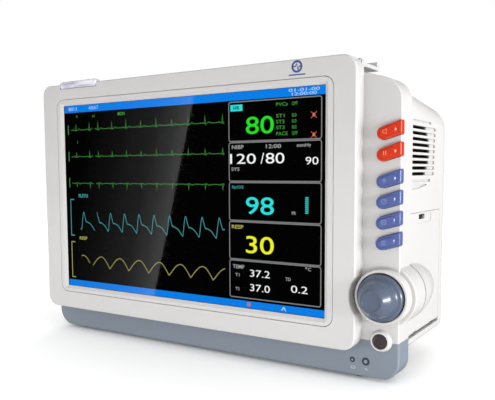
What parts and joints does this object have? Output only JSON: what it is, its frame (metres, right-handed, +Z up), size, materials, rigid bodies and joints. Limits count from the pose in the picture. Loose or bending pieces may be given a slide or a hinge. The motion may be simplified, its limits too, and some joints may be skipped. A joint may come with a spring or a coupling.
{
  "type": "patient monitor",
  "caption": "Bench-top patient monitor: wide colour screen in a proud bezel, slanted keys, rotary push knob, folding top handle, side recorder door and rear fan.",
  "frame": {"origin": "bottom centre of the whole monitor, on the plane its rubber feet stand on", "axes": "+X to the right of a person facing the screen, +Y from the screen into the case, +Z up"},
  "size_m": [0.3493, 0.1502, 0.2282],
  "materials": {
    "housing_cream": "fine-grained moulded plastic, warm white",
    "handle_grey": "fine-grained moulded plastic, light grey",
    "trim_slate": "fine-grained moulded plastic, slate grey",
    "key_red": "soft satin, orange red",
    "key_blue": "soft satin, violet blue",
    "knob_slate": "polished, slate blue",
    "button_dark": "polished, dark brown",
    "lamp_clear": "clear with a milky core",
    "lens_dark": "dark lens, unlit",
    "window_glass": "clear, semi-gloss",
    "panel_black": "lit screen, black ground",
    "board_green": "solder-masked circuit board",
    "battery_wrap": "shrink-wrapped battery pack",
    "sheet_steel": "zinc-plated sheet",
    "pin_steel": "turned or drawn steel",
    "connector_steel": "nickel-plated shells",
    "plate_aluminium": "milled",
    "brass": "turned",
    "connector_grey": "mid grey moulding",
    "socket_green": "coloured socket collar",
    "socket_blue": "coloured socket collar",
    "socket_red": "coloured socket collar",
    "plastic_black": "moulded black plastic",
    "rubber_grey": "moulded rubber",
    "rubber_black": "ground rubber roller",
    "paper_white": "thermal paper"
  },
  "bodies": {
    "case": {"alarm_board": "board_green", "alarm_lens": "lamp_clear", "base_tray": "housing_cream", "battery_cover": "housing_cream", "battery_pack": "battery_wrap", "chassis": "sheet_steel", "control_board": "board_green", "cuff_fitting": "connector_grey", "cuff_pump": "plastic_black", "data_sockets": "connector_steel", "display_window": "window_glass", "door_pins": "pin_steel", "earth_stud": "brass", "ecg_socket": "socket_green", "encoder_body": "pin_steel", "fan_frame": "plastic_black", "feet": "rubber_grey", "front_bezel": "housing_cream", "front_housing": "housing_cream", "fuse_caps": "plastic_black", "handle_pins": "handle_grey", "indicator_lenses": "lens_dark", "lcd_panel": "panel_black", "lower_trim": "trim_slate", "main_board": "board_green", "mounting_plate": "plate_aluminium", "oximeter_socket": "socket_blue", "parameter_board": "board_green", "power_inlet": "plastic_black", "power_supply": "sheet_steel", "pressure_sockets": "socket_red", "print_head": "plate_aluminium", "rear_housing": "housing_cream", "rear_panel": "sheet_steel", "rear_screws": "pin_steel", "recorder_frame": "plastic_black", "recorder_motor": "pin_steel", "screen_frame": "housing_cream", "sensor_panel": "connector_grey", "speaker": "plastic_black", "temperature_jacks": "plastic_black"},
    "key_silence": {"key_silence": "key_red"},
    "key_pause": {"key_pause": "key_red"},
    "key_freeze": {"key_freeze": "key_blue"},
    "key_pressure": {"key_pressure": "key_blue"},
    "key_record": {"key_record": "key_blue"},
    "key_menu": {"key_menu": "key_blue"},
    "power_button": {"power_button": "button_dark"},
    "encoder_push": {"encoder_plunger": "plastic_black"},
    "control_knob": {"knob": "knob_slate", "knob_shaft": "pin_steel"},
    "handle": {"carry_handle": "handle_grey"},
    "door": {"recorder_door": "housing_cream"},
    "latch": {"door_latch": "plastic_black"},
    "fan": {"fan_rotor": "plastic_black"},
    "platen": {"platen_roller": "rubber_black", "platen_gear": "connector_grey"},
    "pinion": {"motor_pinion": "brass"},
    "paper": {"paper_roll": "paper_white", "paper_spindle": "plastic_black"}
  },
  "joints": [
    {"name": "key_silence_press", "type": "slide", "parent": "case", "child": "key_silence", "axis": [0, 1, 0], "range_m": [0, 0.0015], "stiffness_N_per_m": 200, "springref_m": -0.002},
    {"name": "key_pause_press", "type": "slide", "parent": "case", "child": "key_pause", "axis": [0, 1, 0], "range_m": [0, 0.0015], "stiffness_N_per_m": 200, "springref_m": -0.002},
    {"name": "key_freeze_press", "type": "slide", "parent": "case", "child": "key_freeze", "axis": [0, 1, 0], "range_m": [0, 0.0015], "stiffness_N_per_m": 200, "springref_m": -0.002},
    {"name": "key_pressure_press", "type": "slide", "parent": "case", "child": "key_pressure", "axis": [0, 1, 0], "range_m": [0, 0.0015], "stiffness_N_per_m": 200, "springref_m": -0.002},
    {"name": "key_record_press", "type": "slide", "parent": "case", "child": "key_record", "axis": [0, 1, 0], "range_m": [0, 0.0015], "stiffness_N_per_m": 200, "springref_m": -0.002},
    {"name": "key_menu_press", "type": "slide", "parent": "case", "child": "key_menu", "axis": [0, 1, 0], "range_m": [0, 0.0015], "stiffness_N_per_m": 200, "springref_m": -0.002},
    {"name": "power_press", "type": "slide", "parent": "case", "child": "power_button", "axis": [0, 1, 0], "range_m": [0, 0.0015], "stiffness_N_per_m": 200, "springref_m": -0.002},
    {"name": "knob_push", "type": "slide", "parent": "case", "child": "encoder_push", "axis": [0, 1, 0], "range_m": [0, 0.0008], "stiffness_N_per_m": 600, "springref_m": -0.0015},
    {"name": "knob_turn", "type": "hinge", "parent": "encoder_push", "child": "control_knob", "pos_m": [0.15235, -0.0599, 0.0617], "axis": [0, 1, 0], "continuous": true},
    {"name": "handle_fold", "type": "hinge", "parent": "case", "child": "handle", "pos_m": [-0.01865, -0.0434, 0.2214], "axis": [1, 0, 0], "range_deg": [0, 90]},
    {"name": "door_swing", "type": "hinge", "parent": "case", "child": "door", "pos_m": [0.15835, 0.0071, 0.0318], "axis": [0, 1, 0], "range_deg": [0, 80]},
    {"name": "latch_slide", "type": "slide", "parent": "door", "child": "latch", "axis": [0, 0, -1], "range_m": [0, 0.002], "stiffness_N_per_m": 200, "springref_m": -0.002},
    {"name": "fan_spin", "type": "hinge", "parent": "case", "child": "fan", "pos_m": [0.06935, 0.0641, 0.129], "axis": [0, 1, 0], "continuous": true},
    {"name": "platen_spin", "type": "hinge", "parent": "case", "child": "platen", "pos_m": [0.14435, 0.0101, 0.098], "axis": [0, 1, 0], "continuous": true},
    {"name": "pinion_spin", "type": "hinge", "parent": "case", "child": "pinion", "pos_m": [0.13235, 0.0261, 0.098], "axis": [0, 1, 0], "continuous": true},
    {"name": "paper_spin", "type": "hinge", "parent": "case", "child": "paper", "pos_m": [0.12935, 0.0071, 0.063], "axis": [0, 1, 0], "continuous": true}
  ],
  "couplings": [
    {"joint": "pinion_spin", "follows": "platen_spin", "ratio": -2},
    {"joint": "paper_spin", "follows": "platen_spin", "ratio": 0.33158}
  ]
}
